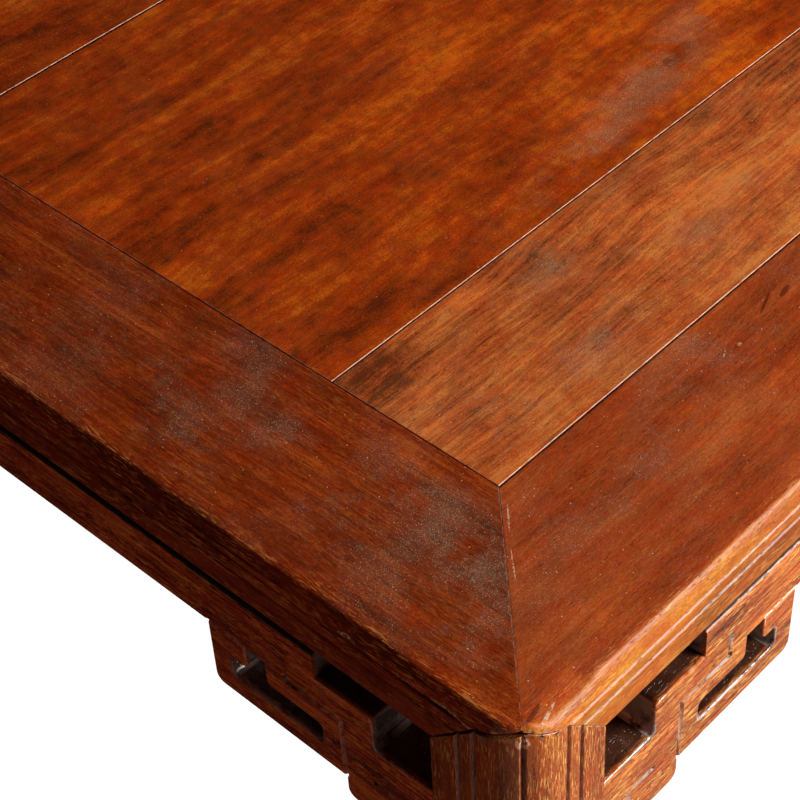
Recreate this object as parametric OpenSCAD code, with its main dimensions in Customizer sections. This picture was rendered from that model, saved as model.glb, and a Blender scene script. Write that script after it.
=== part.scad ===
// Square table of solid hardwood, put together with hidden joints and no metal.
// A mitred frame holds four floating boards. Each corner is a three-way mitre: two frame
// members and the leg meet on 45 degree lines that show on the top and on both faces, and
// run out at the tip of the corner.
// An apron with stepped, openwork fret brackets runs between the legs on all four sides.
// Origin: middle of the table at floor level. +Z up, the boards and their grain run along X.

/* [Top] */
// Width of the square top over its frame
top_w = 1000; // [900:5:1200]
// Height of the top above the floor
table_h = 830; // [700:5:900]
// Width of a frame member, seen from above
frame_w = 100; // [96:1:110]
// Thickness of a frame member
frame_t = 35; // [33:0.5:42]
// Width of each of the two narrow boards along the frame
narrow_board_w = 102; // [80:1:160]
// Thickness of the boards
board_t = 14; // [13.5:0.5:16]
// Gap that shows round each board
board_gap = 0.4; // [0.2:0.1:0.8]

/* [Edge moulding] */
// Flat band along the frame's lower edge and the leg's inner edge
band_w = 14.5; // [12:0.5:17]
// Width of each of the two V grooves beside the bead
groove_w = 2.4; // [1.5:0.1:3]
// Depth of those grooves
groove_d = 1.8; // [1:0.1:2.5]
// Width of the flat bead between the two grooves
bead_w = 6.2; // [5:0.1:8]
// How far the rounded lip draws in at the top
lip_in = 4; // [3:0.5:7]
// Radius of the frame's and the leg's upright corners
corner_r = 22; // [18:1:25]

/* [Panel joints] */
// Thickness of the tongues round the boards
tongue_t = 5; // [4:0.5:5.5]
// Length of the tongues that sit in the frame
tongue_l = 8; // [5:0.5:9]
// Wood above a tongue
tongue_cover = 4.5; // [3.5:0.5:5]
// Length of the tongue between two boards
board_tongue_l = 5; // [3:0.5:7]
// Distance from one batten to the next
batten_pitch = 240; // [150:5:260]
// Width of a batten
batten_w = 36; // [32:1:44]
// Depth of a batten below the boards
batten_h = 20; // [17:0.5:20]
// Height of the dovetail that slides into the boards
dovetail_h = 4; // [3:0.5:4]
// Width of the dovetail at its neck
dovetail_w = 22; // [16:1:26]
// Spread of the dovetail on each side
dovetail_spread = 1.5; // [0.5:0.5:2]
// Length of the batten's tenon in the frame
batten_tenon_l = 25; // [15:1:35]
// Thickness of that tenon
batten_tenon_t = 8; // [6:1:10]

/* [Corner joints] */
// Thickness of the blind tenon that joins two frame members
corner_tenon_t = 11; // [8:1:12]
// Width of that tenon
corner_tenon_w = 30; // [24:1:32]
// Wood left outside the blind end of that tenon
corner_tenon_cover = 20; // [12:1:30]
// Wood above that tenon
corner_tenon_top = 12; // [11:1:14]
// Width of each of the leg's two tenons
leg_tenon_w = 14; // [10:1:15]
// Thickness of each of the leg's two tenons
leg_tenon_t = 12; // [8:1:12]
// Wood between the leg's tip at the corner and the top of the table
leg_tip_cover = 2; // [1:0.5:4]
// Wood between those tenons and the frame's outer face
leg_tenon_cover = 12; // [10:1:13]
// Wood above those tenons
leg_tenon_top = 13; // [12:1:16]
// Clearance on each side of a tenon, tongue or dovetail
fit = 0.15; // [0.05:0.05:0.3]

/* [Legs] */
// Width of the square leg
leg_w = 52; // [50:1:58]
// Bevel on the leg's hidden inner corner
leg_bevel = 2.5; // [1:0.5:4]

/* [Apron] */
// Height of the apron rail
rail_h = 36; // [30:1:40]
// Thickness of the apron rail and the fret brackets
apron_t = 24; // [22:1:28]
// How far the apron's face lies behind the frame's face
apron_in = 0.6; // [0.2:0.1:2]
// Height of the shadow gap along the top of the rail
shadow_h = 3.8; // [2:0.2:4.4]
// Depth of the shadow gap
shadow_d = 7; // [5:0.5:7.5]
// Radius of the rail's upper front edge
rail_round_r = 2.5; // [1:0.5:4]
// Thickness of the tongue on top of the rail
rail_tongue_t = 8; // [6:0.5:8]
// Height of that tongue
rail_tongue_h = 6; // [4:0.5:8]

/* [Fretwork] */
// Run of each step of the fret's inner outline
stair_run = 34.5; // [30:0.5:40]
// Drop of each step of the fret's inner outline
stair_drop = 20.5; // [18:0.5:22]
// Width of the fret's thick bar
thick_bar = 18; // [17:0.5:22]
// Width of the two uprights that step it down
upright_bar = 19.5; // [17:0.5:22]
// Width of the fret's thin bars
thin_bar = 13.5; // [12:0.5:16]
// Width of the slot that is cut through between the bars
slot_w = 13; // [8:0.5:16]
// Length of the hooked end that reaches back over the slot
hook_l = 10.5; // [8:0.5:16]
// Drop of the spur along the leg, below the foot piece's step
spur_drop = 24; // [16:1:40]
// Radius of the fret's outer corners
fret_r = 5.5; // [2:0.5:6]
// Radius of the corners inside the openings
fret_inner_r = 3; // [1:0.1:4]
// Width of the V cuts that part the bars
cut_w = 3.2; // [2:0.1:4]
// Depth of the V cuts
cut_d = 2.2; // [1:0.1:3]
// Thickness of the fret's tenons
fret_tenon_t = 8; // [6:0.5:8]
// Length of the fret's tenons
fret_tenon_l = 10; // [6:1:12]

/* [Hidden] */
$fn = 64;
// Overshoot of a cutting solid past the face that it opens
over = 1;
// Straight pieces in a rounded fret corner
arc_steps = 4;

// Heights and sides of the top
half_w = top_w / 2;
under_z = table_h - frame_t;
lip_h = frame_t - band_w - 2 * groove_w - bead_w;
head_z = table_h - lip_h;
leg_tip_z = table_h - leg_tip_cover;
corner_in = corner_r * (1 - cos(45));
lip_r = (lip_in * lip_in + lip_h * lip_h) / (2 * lip_in);
panel_w = top_w - 2 * frame_w;
tongue_z = table_h - tongue_cover - tongue_t;
board_z = table_h - board_t;
batten_z = board_z - batten_h;

// Places of the corner joints, measured in from the frame's outer faces
joint_wall = 4;
corner_tenon_in = leg_w + joint_wall;
leg_tenon_x = leg_w - joint_wall - leg_tenon_w;
batten_tenon_inset = 5;

// Places across the apron, measured in from the frame's outer face
rail_tongue_y = apron_in + (apron_t - rail_tongue_t) / 2;
fret_tenon_y = apron_in + (apron_t - fret_tenon_t) / 2;

// Places along the fret, measured from the leg's inner face
rail_s = 2 * stair_run;
cut1_s = stair_run + upright_bar;
cut2_s = 2 * stair_run + upright_bar;
slot_s0 = cut1_s + thin_bar;
upright_s0 = cut2_s + thin_bar;
upright_s1 = upright_s0 + slot_w;
slot_s1 = upright_s1 + hook_l;
fret_l = slot_s1 + thin_bar;
spur_w = thick_bar;

// Places down the fret, measured from the frame's underside
bar_drop = max(stair_drop + thick_bar, rail_h + cut_w / 2);
bar_end_drop = 2 * stair_drop + thin_bar;
slot_drop0 = bar_drop + thin_bar;
slot_drop1 = slot_drop0 + slot_w;
fret_drop = slot_drop1 + thin_bar;
foot_drop = fret_drop + thin_bar;
foot_end_drop = foot_drop + spur_drop;
cut_start_drop = stair_drop + cut_w / 2;

// Places of the fret's tenons
tenon_wall = 2;
fret_tenon_drop0 = 2 * stair_drop + tenon_wall;
fret_tenon_drop1 = bar_end_drop - tenon_wall;
foot_tenon_drop0 = bar_end_drop + 3 * tenon_wall;
foot_tenon_drop1 = foot_end_drop - 4 * tenon_wall;
rail_tenon_w = thick_bar - 4 * tenon_wall;
rail_tenon_s = [rail_s + 2 * tenon_wall, upright_s1 + 2 * tenon_wall];
foot_peg_w = 16;
foot_peg_s = (cut1_s - foot_peg_w) / 2;
foot_peg_l = thin_bar / 2;

SIDES = ["front", "right", "back", "left"];
CORNERS = ["front_left", "front_right", "back_right", "back_left"];
BATTENS = ["left", "middle", "right"];

// Side i of the table, with x along it from its corner i, y inwards from its outer face
module on_side(i) {
    rotate([0, 0, 90 * i])
        translate([-half_w, -half_w, 0])
            children();
}

// The first or the second end of a side
module at_end(e) {
    if (e == 1) {
        children();
    } else {
        translate([top_w, 0, 0])
            mirror([1, 0, 0])
                children();
    }
}

// The corner seen from its other side: x and y change places
module swapped(yes) {
    if (yes) {
        mirror([1, -1, 0])
            children();
    } else {
        children();
    }
}

// A flat outline in x and z, given a thickness inwards from depth y0
module upright_plate(y0, thickness) {
    translate([0, y0 + thickness, 0])
        rotate([90, 0, 0])
            linear_extrude(thickness)
                children();
}

// A flat outline in y and z, given a length along x from x0
module length_along_x(x0, length) {
    translate([x0, 0, 0])
        rotate([90, 0, 90])
            linear_extrude(length)
                children();
}

// Outline of a V cut into a face at y = 0
module v_outline(width, depth) {
    polygon([
        [-width / 2, -over],
        [width / 2, -over],
        [width / 2, 0],
        [0, depth],
        [-width / 2, 0]
    ]);
}

// Section through a frame member: x is the depth in from its outer face, y the height
module frame_section() {
    groove_heights = [band_w + groove_w / 2, band_w + 1.5 * groove_w + bead_w];
    difference() {
        translate([0, under_z])
            square([frame_w, frame_t]);
        difference() {
            translate([-over, head_z])
                square([lip_in + over, lip_h + over]);
            translate([lip_r, head_z])
                circle(lip_r);
        }
        for (h = groove_heights) {
            translate([0, under_z + h])
                rotate(-90)
                    v_outline(groove_w, groove_d);
        }
    }
}

// The moulded edge turned round an upright corner of the top
module frame_corner() {
    translate([corner_r, corner_r, 0])
        rotate_extrude()
            intersection() {
                translate([corner_r, 0])
                    mirror([1, 0])
                        frame_section();
                translate([0, under_z])
                    square([corner_r, frame_t]);
            }
}

// Frame member before its joints are cut, mitred at both ends
module frame_blank() {
    intersection() {
        union() {
            length_along_x(corner_r, top_w - 2 * corner_r)
                frame_section();
            for (e = [1, 2]) {
                at_end(e)
                    frame_corner();
            }
        }
        translate([0, 0, under_z - over])
            linear_extrude(frame_t + 2 * over)
                polygon([[0, 0], [top_w, 0], [half_w, half_w]]);
    }
}

// Space below the mitre on one face: at 45 degrees up to the lip, then flatter up to the tip
module mitre_limit() {
    upright_plate(-over, leg_w + 2 * over)
        polygon([
            [-over, -over],
            [leg_w, -over],
            [leg_w, under_z],
            [leg_w - (head_z - under_z), head_z],
            [corner_in, leg_tip_z],
            [-over, leg_tip_z]
        ]);
}

// The leg's mitred head, from below the frame up to the tip of the corner
module leg_head() {
    intersection() {
        mitre_limit();
        swapped(true)
            mitre_limit();
        translate([-over, -over, under_z - over])
            cube([leg_w + 2 * over, leg_w + 2 * over, frame_t]);
    }
}

// The two tenons on the leg's head, one for each frame member
module leg_tenons(clear) {
    for (other = [false, true]) {
        swapped(other)
            translate([leg_tenon_x - clear, leg_tenon_cover - clear, under_z])
                cube([
                    leg_tenon_w + 2 * clear,
                    leg_tenon_t + 2 * clear,
                    frame_t - leg_tenon_top + clear
                ]);
    }
}

// Blind tenon of a frame member that runs along x, reaching into its neighbour at the corner
module corner_tenon(clear) {
    translate([
        corner_tenon_cover - clear,
        corner_tenon_in - clear,
        table_h - corner_tenon_top - corner_tenon_t - clear
    ])
        cube([
            corner_tenon_in + corner_tenon_w - corner_tenon_cover + 2 * clear,
            corner_tenon_w + 2 * clear,
            corner_tenon_t + 2 * clear
        ]);
}

// Tenon of a batten, at the middle of the frame member's inner edge
module batten_tenon(clear) {
    width = batten_w - 2 * batten_tenon_inset;
    translate([
        -width / 2 - clear,
        frame_w - batten_tenon_l - clear,
        batten_z + (batten_h - batten_tenon_t) / 2 - clear
    ])
        cube([
            width + 2 * clear,
            batten_tenon_l + 2 * clear + over,
            batten_tenon_t + 2 * clear
        ]);
}

// Tongue along the top of an apron rail
module rail_tongue(clear) {
    translate([leg_w + rail_s - clear, rail_tongue_y - clear, under_z - over])
        cube([
            top_w - 2 * (leg_w + rail_s) + 2 * clear,
            rail_tongue_t + 2 * clear,
            rail_tongue_h + over + clear
        ]);
}

// Front and back members run along X and carry the tenons, left and right ones the mortises
module frame_member(i) {
    tenoned = i % 2 == 0;
    color("saddlebrown")
        on_side(i)
            difference() {
                union() {
                    frame_blank();
                    if (tenoned) {
                        for (e = [1, 2]) {
                            at_end(e)
                                corner_tenon(0);
                        }
                    }
                }
                translate([frame_w - tongue_l - fit, frame_w - tongue_l - fit, tongue_z - fit])
                    cube([
                        panel_w + 2 * (tongue_l + fit),
                        panel_w + 2 * (tongue_l + fit),
                        tongue_t + 2 * fit
                    ]);
                for (e = [1, 2]) {
                    at_end(e) {
                        leg_head();
                        leg_tenons(fit);
                        if (!tenoned) {
                            swapped(true)
                                corner_tenon(fit);
                        }
                    }
                }
                rail_tongue(fit);
                if (tenoned) {
                    for (k = [-1:1]) {
                        translate([half_w + k * batten_pitch, 0, 0])
                            batten_tenon(fit);
                    }
                }
            }
}

// Edges of the four boards across the table
board_edges = [
    -panel_w / 2,
    -panel_w / 2 + narrow_board_w,
    0,
    panel_w / 2 - narrow_board_w,
    panel_w / 2
];

// Section through a batten: its body and the dovetail on top
module batten_section(clear) {
    top = board_z + dovetail_h + clear;
    neck = dovetail_w / 2 + clear;
    translate([-batten_w / 2, batten_z])
        square([batten_w, batten_h]);
    polygon([
        [-neck, board_z - over],
        [neck, board_z - over],
        [neck, board_z],
        [neck + dovetail_spread, top],
        [-neck - dovetail_spread, top],
        [-neck, board_z]
    ]);
}

// Boards float: tongues sit in the frame, and each board's tongue sits in the next one
module board(k) {
    first = k == 1;
    last = k == 4;
    y0 = board_edges[k - 1] + (first ? board_gap : board_gap / 2);
    y1 = board_edges[k] - (last ? board_gap : board_gap / 2);
    tongue_y0 = first ? -panel_w / 2 - tongue_l : y0;
    tongue_y1 = last ? panel_w / 2 + tongue_l : y1 + board_gap + board_tongue_l;
    body_l = panel_w - 2 * board_gap;
    tongue_len = panel_w + 2 * tongue_l;
    color(first || last ? "sienna" : "chocolate")
        difference() {
            union() {
                translate([-body_l / 2, y0, board_z])
                    cube([body_l, y1 - y0, board_t]);
                translate([-tongue_len / 2, tongue_y0, tongue_z])
                    cube([tongue_len, tongue_y1 - tongue_y0, tongue_t]);
            }
            if (!first) {
                translate([-tongue_len / 2 - over, y0 - over, tongue_z - fit])
                    cube([
                        tongue_len + 2 * over,
                        over + board_tongue_l + 2 * fit,
                        tongue_t + 2 * fit
                    ]);
            }
            for (b = [-1:1]) {
                translate([b * batten_pitch, 0, 0])
                    upright_plate(-half_w, top_w)
                        batten_section(fit);
            }
        }
}

// Battens run along Y, slide into the boards' dovetailed housings and are tenoned into the frame
module batten(b) {
    color("peru")
        translate([(b - 1) * batten_pitch, 0, 0]) {
            upright_plate(-panel_w / 2, panel_w)
                batten_section(0);
            for (turn = [0, 180]) {
                rotate([0, 0, turn])
                    translate([0, -half_w, 0])
                        batten_tenon(0);
            }
        }
}

// Section through a leg: two rounded lobes meet at the outer corner, then groove, bead and band
module leg_section() {
    groove_places = [band_w + groove_w / 2, band_w + 1.5 * groove_w + bead_w];
    difference() {
        union() {
            translate([corner_r, corner_r])
                circle(corner_r);
            translate([corner_r, 0])
                square([leg_w - corner_r, leg_w]);
            translate([0, corner_r])
                square([leg_w, leg_w - corner_r]);
        }
        for (p = groove_places) {
            translate([leg_w - p, 0])
                v_outline(groove_w, groove_d);
            mirror([1, -1])
                translate([leg_w - p, 0])
                    v_outline(groove_w, groove_d);
        }
        translate([corner_in, corner_in])
            rotate(-45)
                v_outline(groove_w, groove_d);
        translate([leg_w, leg_w])
            rotate(45)
                square(leg_bevel * sqrt(2), center = true);
    }
}

// What the lip leaves of a corner: all below it, and its own curve round the corner above
module lip_limit() {
    translate([-over, -over, -over])
        cube([leg_w + 2 * over, leg_w + 2 * over, head_z + over]);
    for (other = [false, true]) {
        swapped(other)
            length_along_x(corner_r, leg_w)
                frame_section();
    }
    frame_corner();
}

// Tenon of the bracket's lowest bar in the leg
module bracket_tenon(clear) {
    translate([leg_w - fret_tenon_l - clear, fret_tenon_y - clear, under_z - fret_tenon_drop1 - clear])
        cube([
            fret_tenon_l + clear + over,
            fret_tenon_t + 2 * clear,
            fret_tenon_drop1 - fret_tenon_drop0 + 2 * clear
        ]);
}

// Tenon of the foot piece in the leg
module foot_tenon(clear) {
    translate([leg_w - fret_tenon_l - clear, fret_tenon_y - clear, under_z - foot_tenon_drop1 - clear])
        cube([
            fret_tenon_l + clear + over,
            fret_tenon_t + 2 * clear,
            foot_tenon_drop1 - foot_tenon_drop0 + 2 * clear
        ]);
}

module leg(i) {
    color("brown")
        on_side(i)
            difference() {
                union() {
                    intersection() {
                        linear_extrude(table_h)
                            leg_section();
                        mitre_limit();
                        swapped(true)
                            mitre_limit();
                        lip_limit();
                    }
                    leg_tenons(0);
                }
                for (other = [false, true]) {
                    swapped(other) {
                        bracket_tenon(fit);
                        foot_tenon(fit);
                    }
                }
            }
}

// Points of a rectilinear outline with its corners rounded to the radii given with them
function corner_arc(before, at, after, r) =
    let (
        d0 = (before - at) / norm(before - at),
        d1 = (after - at) / norm(after - at),
        centre = at + r * (d0 + d1)
    )
    r == 0
        ? [at]
        : [for (k = [0:arc_steps]) let (t = 90 * k / arc_steps) centre - r * (d1 * cos(t) + d0 * sin(t))];

function rounded_outline(points, radii) =
    let (n = len(points))
    [
        for (k = [0:n - 1])
            each corner_arc(points[(k + n - 1) % n], points[k], points[(k + 1) % n], radii[k])
    ];

// An outline in run and drop from the corner of leg and frame, set up on the side
module fret_plate(points, radii, y0, thickness) {
    placed = [for (p = rounded_outline(points, radii)) [leg_w + p[0], under_z - p[1]]];
    upright_plate(y0, thickness)
        polygon(placed);
}

// V cut in the apron's face from one place to another, level or upright
module v_cut(from, to) {
    run = to[0] - from[0];
    drop = to[1] - from[1];
    reach = abs(run) + abs(drop);
    middle = (from + to) / 2;
    translate([leg_w + middle[0], apron_in, under_z - middle[1]])
        rotate([0, run == 0 ? 0 : 90, 0])
            translate([0, 0, -reach / 2])
                linear_extrude(reach)
                    v_outline(cut_w, cut_d);
}

// All V cuts at one end of a side, shared by the rail, the bracket and the foot piece
module v_cuts() {
    half_cut = cut_w / 2;
    v_cut([cut2_s, cut_start_drop], [cut2_s, bar_drop + half_cut]);
    v_cut([cut2_s + half_cut, bar_drop], [cut1_s - half_cut, bar_drop]);
    v_cut([cut1_s, bar_drop - half_cut], [cut1_s, fret_drop + over]);
    v_cut([upright_s1 - over, rail_h], [fret_l + over, rail_h]);
    v_cut([spur_w - half_cut, slot_drop1 + half_cut], [stair_run + half_cut, slot_drop1 + half_cut]);
    v_cut([spur_w, slot_drop1], [spur_w, foot_drop + over]);
}

// Tenons on top of the bracket, up into the rail
module rail_tenons(clear) {
    for (s = rail_tenon_s) {
        translate([leg_w + s - clear, fret_tenon_y - clear, under_z - rail_h - over])
            cube([
                rail_tenon_w + 2 * clear,
                fret_tenon_t + 2 * clear,
                fret_tenon_l + over + clear
            ]);
    }
}

// Peg on top of the foot piece, up into the bracket's lowest bar
module foot_peg(clear) {
    translate([leg_w + foot_peg_s - clear, fret_tenon_y - clear, under_z - bar_end_drop - over])
        cube([
            foot_peg_w + 2 * clear,
            fret_tenon_t + 2 * clear,
            foot_peg_l + over + clear
        ]);
}

// Section through the rail: shadow gap in front of its top, rounded front edge below the gap
module rail_section() {
    top = under_z - shadow_h;
    difference() {
        translate([apron_in, under_z - rail_h])
            square([apron_t, rail_h]);
        translate([apron_in - over, top])
            square([shadow_d + over, shadow_h + over]);
        difference() {
            translate([apron_in - over, top - rail_round_r])
                square([rail_round_r + over, rail_round_r + over]);
            translate([apron_in + rail_round_r, top - rail_round_r])
                circle(rail_round_r);
        }
    }
}

module apron(i) {
    color("firebrick")
        on_side(i)
            difference() {
                union() {
                    length_along_x(leg_w + rail_s, top_w - 2 * (leg_w + rail_s))
                        rail_section();
                    rail_tongue(0);
                }
                for (e = [1, 2]) {
                    at_end(e) {
                        v_cuts();
                        rail_tenons(fit);
                    }
                }
            }
}

// Openwork fret bracket: a bar steps down from the rail to the leg, and a second bar hooks back
// under the rail round an L-shaped slot
module bracket(i, e) {
    outline = [
        [0, 2 * stair_drop],
        [stair_run, 2 * stair_drop],
        [stair_run, stair_drop],
        [rail_s, stair_drop],
        [rail_s, rail_h],
        [fret_l, rail_h],
        [fret_l, fret_drop],
        [cut1_s, fret_drop],
        [cut1_s, bar_end_drop],
        [0, bar_end_drop]
    ];
    outline_r = [0, fret_inner_r, fret_inner_r, 0, 0, 0, fret_r, 0, 0, 0];
    slot = [
        [upright_s0, rail_h - over],
        [upright_s1, rail_h - over],
        [upright_s1, slot_drop0],
        [slot_s1, slot_drop0],
        [slot_s1, slot_drop1],
        [slot_s0, slot_drop1],
        [slot_s0, slot_drop0],
        [upright_s0, slot_drop0]
    ];
    slot_r = [0, 0, fret_inner_r, fret_inner_r, fret_inner_r, fret_inner_r, fret_inner_r, fret_inner_r];
    color("indianred")
        on_side(i)
            at_end(e)
                difference() {
                    union() {
                        fret_plate(outline, outline_r, apron_in, apron_t);
                        bracket_tenon(0);
                        rail_tenons(0);
                    }
                    fret_plate(slot, slot_r, apron_in - over, apron_t + 2 * over);
                    v_cuts();
                    foot_peg(fit);
                }
}

// Foot piece: the bracket's lowest bar, with a spur down the leg
module foot(i, e) {
    outline = [
        [0, bar_end_drop],
        [cut1_s, bar_end_drop],
        [cut1_s, foot_drop],
        [spur_w, foot_drop],
        [spur_w, foot_end_drop],
        [0, foot_end_drop]
    ];
    outline_r = [0, 0, fret_r, fret_inner_r, fret_r, 0];
    color("rosybrown")
        on_side(i)
            at_end(e)
                difference() {
                    union() {
                        fret_plate(outline, outline_r, apron_in, apron_t);
                        foot_tenon(0);
                        foot_peg(0);
                    }
                    v_cuts();
                }
}

for (i = [0:3]) {
    frame_member(i);
    board(i + 1);
    leg(i);
    apron(i);
    for (e = [1, 2]) {
        bracket(i, e);
        foot(i, e);
    }
}
for (b = [0:2]) {
    batten(b);
}
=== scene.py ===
"""Square hardwood table, dressed on its packed construction model."""
import math
import random

import bmesh
import bpy
from mathutils import Matrix, Vector, noise
from mathutils.bvhtree import BVHTree


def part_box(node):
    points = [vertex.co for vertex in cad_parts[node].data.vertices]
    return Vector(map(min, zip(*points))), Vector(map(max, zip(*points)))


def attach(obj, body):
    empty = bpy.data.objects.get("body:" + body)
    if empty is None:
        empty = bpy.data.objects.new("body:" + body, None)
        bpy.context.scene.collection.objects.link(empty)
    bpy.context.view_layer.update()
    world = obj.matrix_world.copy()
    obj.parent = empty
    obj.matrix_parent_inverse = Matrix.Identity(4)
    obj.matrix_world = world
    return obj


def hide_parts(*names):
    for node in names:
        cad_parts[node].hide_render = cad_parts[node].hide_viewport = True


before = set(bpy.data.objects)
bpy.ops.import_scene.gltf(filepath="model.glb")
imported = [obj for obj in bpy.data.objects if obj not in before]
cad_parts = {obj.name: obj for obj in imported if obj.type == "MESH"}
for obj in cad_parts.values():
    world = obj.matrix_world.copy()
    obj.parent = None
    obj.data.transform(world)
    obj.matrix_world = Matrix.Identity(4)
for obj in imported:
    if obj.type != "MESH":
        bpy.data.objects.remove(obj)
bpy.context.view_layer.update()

# The camera: it stands over the corner at -X, -Y and looks down on it from close by.
# Its place and lens come from the straight edges, joints and fretwork in the photograph.
CAMERA_PLACE = (-0.8563, -0.8061, 1.4738)
CAMERA_HEADING = 44.535
CAMERA_DIP = 43.965
CAMERA_ROLL = 3.598
CAMERA_LENS = 91.81

camera_data = bpy.data.cameras.new("camera")
camera_data.lens = CAMERA_LENS
camera_data.sensor_width = 36.0
camera_data.clip_start = 0.05
camera = bpy.data.objects.new("camera", camera_data)
bpy.context.collection.objects.link(camera)
camera.matrix_world = (
    Matrix.Translation(CAMERA_PLACE)
    @ Matrix.Rotation(math.radians(-CAMERA_HEADING), 4, "Z")
    @ Matrix.Rotation(math.radians(90.0 - CAMERA_DIP), 4, "X")
    @ Matrix.Rotation(math.radians(-CAMERA_ROLL), 4, "Z")
)
bpy.context.scene.camera = camera
bpy.context.scene.view_settings.view_transform = "Standard"

# The frame of the top: four members of dense red hardwood, mitred at the corners, with a
# moulded edge of leaning lip, groove, bead, groove and band. The moulding is run on each
# member before it is mitred, and the corners are rounded after the frame is put together.
MM = 0.001
TOP_W = 1.0
TOP_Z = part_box("frame_front")[1][2]
FRAME_W = 100 * MM
FRAME_T = 35 * MM
UNDER_Z = TOP_Z - FRAME_T
CORNER_R = 22 * MM
BAND = 14.5 * MM
GROOVE = 2.4 * MM
GROOVE_DEEP = 1.8 * MM
BEAD = 6.2 * MM
LIP = FRAME_T - BAND - 2 * GROOVE - BEAD
LIP_Z = TOP_Z - LIP
LEG_W = 52 * MM
MITRE_RISE = LIP_Z - UNDER_Z
LEG_TIP = FRAME_T - 2 * MM
TIP_IN = CORNER_R * (1.0 - math.sqrt(0.5))
SIDES = ("front", "right", "back", "left")


class Field:
    """A value that varies over a surface: arithmetic on it adds Math nodes."""

    def __init__(self, tree, socket):
        self.tree = tree
        self.socket = socket

    def math(self, operation, first, second):
        return self.tree.node(
            "ShaderNodeMath", {"operation": operation}, {0: first, 1: second})

    def __add__(self, other):
        return self.math("ADD", self, other)

    __radd__ = __add__

    def __mul__(self, other):
        return self.math("MULTIPLY", self, other)

    __rmul__ = __mul__

    def __sub__(self, other):
        return self.math("SUBTRACT", self, other)

    def __rsub__(self, other):
        return self.math("SUBTRACT", other, self)

    def __truediv__(self, other):
        return self.math("DIVIDE", self, other)

    def or_more(self, other):
        return self.math("MAXIMUM", self, other)

    def between(self, low, high):
        """Smooth step from 0 at low to 1 at high."""
        return self.tree.node(
            "ShaderNodeMapRange", {"interpolation_type": "SMOOTHSTEP"},
            {"Value": self, "From Min": low, "From Max": high})


class Tree:
    """A node tree under construction: a material's, the world's or one of Geometry Nodes."""

    def __init__(self, tree, output="ShaderNodeOutputMaterial"):
        self.tree = tree
        self.tree.nodes.clear()
        self.output = self.tree.nodes.new(output)

    def node(self, kind, settings=None, inputs=None, out=0):
        """Add a node: settings first, then socket values or links. Returns one output."""
        made = self.tree.nodes.new(kind)
        for key, value in (settings or {}).items():
            setattr(made, key, value)
        for key, value in (inputs or {}).items():
            socket = self.find(made.inputs, key)
            if isinstance(value, Field):
                self.tree.links.new(value.socket, socket)
            elif isinstance(value, tuple) and len(value) == 3 and socket.type == "RGBA":
                socket.default_value = (*value, 1.0)
            else:
                socket.default_value = value
        if isinstance(out, tuple):
            return [Field(self, made.outputs[key]) for key in out]
        return Field(self, self.find(made.outputs, out))

    @staticmethod
    def find(sockets, key):
        """A socket by its number or name, or by its identifier, written id:IDENTIFIER."""
        if isinstance(key, str) and key.startswith("id:"):
            return next(socket for socket in sockets if socket.identifier == key[3:])
        return sockets[key]

    def vector(self, x, y, z):
        return self.node("ShaderNodeCombineXYZ", inputs={0: x, 1: y, 2: z})

    def vectors(self, operation, first, second):
        return self.node(
            "ShaderNodeVectorMath", {"operation": operation}, {0: first, 1: second})

    def part(self, vector, axis):
        return self.node("ShaderNodeSeparateXYZ", inputs={0: vector}, out=axis)

    def mix(self, factor, first, second):
        return self.node(
            "ShaderNodeMix", {"data_type": "RGBA"},
            {"id:Factor_Float": factor, "id:A_Color": first, "id:B_Color": second},
            out="id:Result_Color")

    def end(self, result):
        self.tree.links.new(result.socket, self.output.inputs[0])


def new_material(name):
    material = bpy.data.materials.new(name)
    material.use_nodes = True
    return material


# What lies on the wood: wax and painted shadow in a joint, bruised and broken spots, wax crust
# with painted highlights, and dust.
JOINT_FILLER = (0.66, 0.54, 0.40)
JOINT_SHADOW = (0.010, 0.005, 0.003)
PALE_EDGE = (0.56, 0.45, 0.38)
WAX_AND_PAINTED_HIGHLIGHT = (0.58, 0.46, 0.40)
RAW_WOOD = (0.72, 0.43, 0.27)
DUST_GRAIN = (1.0, 0.62, 0.42)
DUST_SPECK = (1.0, 0.62, 0.4)


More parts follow.
